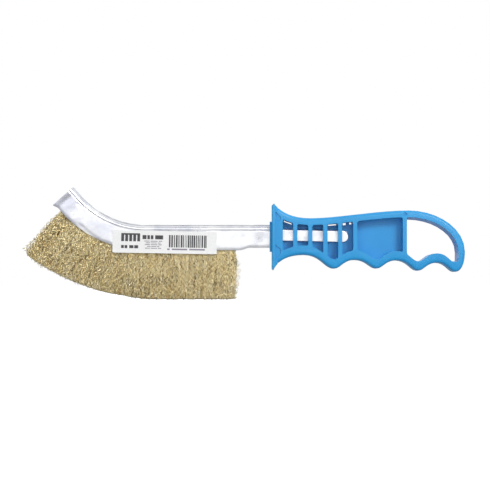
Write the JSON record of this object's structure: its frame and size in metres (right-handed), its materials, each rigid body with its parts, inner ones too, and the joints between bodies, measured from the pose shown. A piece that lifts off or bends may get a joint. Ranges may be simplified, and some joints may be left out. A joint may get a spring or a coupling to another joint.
{
  "type": "wire brush",
  "caption": "Hand wire brush: crimped brass-coated wire in a bent steel channel, with a tang in a moulded handle that has finger grooves and a closed finger loop.",
  "frame": {"origin": "centre of the bounding box in X and Y, at the height of the bristle tips", "axes": "+X runs along the brush from the bristles to the hand, +Y across it, away from the side with the label, and +Z from the bristle tips to the steel back"},
  "size_m": [0.26, 0.022, 0.067],
  "materials": {
    "handle_plastic": "satin moulded polypropylene",
    "zinc_steel": "bright zinc-plated sheet",
    "core_steel": "drawn steel wire",
    "brass_wire": "crimped brass-coated wire",
    "label_paper": "white coated paper"
  },
  "bodies": {
    "root": {"handle": "handle_plastic", "steel_channel": "zinc_steel", "core_wire": "core_steel", "label": "label_paper", "wire_bundle_01": "brass_wire", "wire_bundle_02": "brass_wire", "wire_bundle_03": "brass_wire", "wire_bundle_04": "brass_wire", "wire_bundle_05": "brass_wire", "wire_bundle_06": "brass_wire", "wire_bundle_07": "brass_wire", "wire_bundle_08": "brass_wire", "wire_bundle_09": "brass_wire", "wire_bundle_10": "brass_wire", "wire_bundle_11": "brass_wire", "wire_bundle_12": "brass_wire", "wire_bundle_13": "brass_wire", "wire_bundle_14": "brass_wire", "wire_bundle_15": "brass_wire", "wire_bundle_16": "brass_wire", "wire_bundle_17": "brass_wire", "wire_bundle_18": "brass_wire", "wire_bundle_19": "brass_wire", "wire_bundle_20": "brass_wire", "wire_bundle_21": "brass_wire", "wire_bundle_22": "brass_wire", "wire_bundle_23": "brass_wire", "wire_bundle_24": "brass_wire", "wire_bundle_25": "brass_wire", "wire_bundle_26": "brass_wire"}
  },
  "joints": []
}
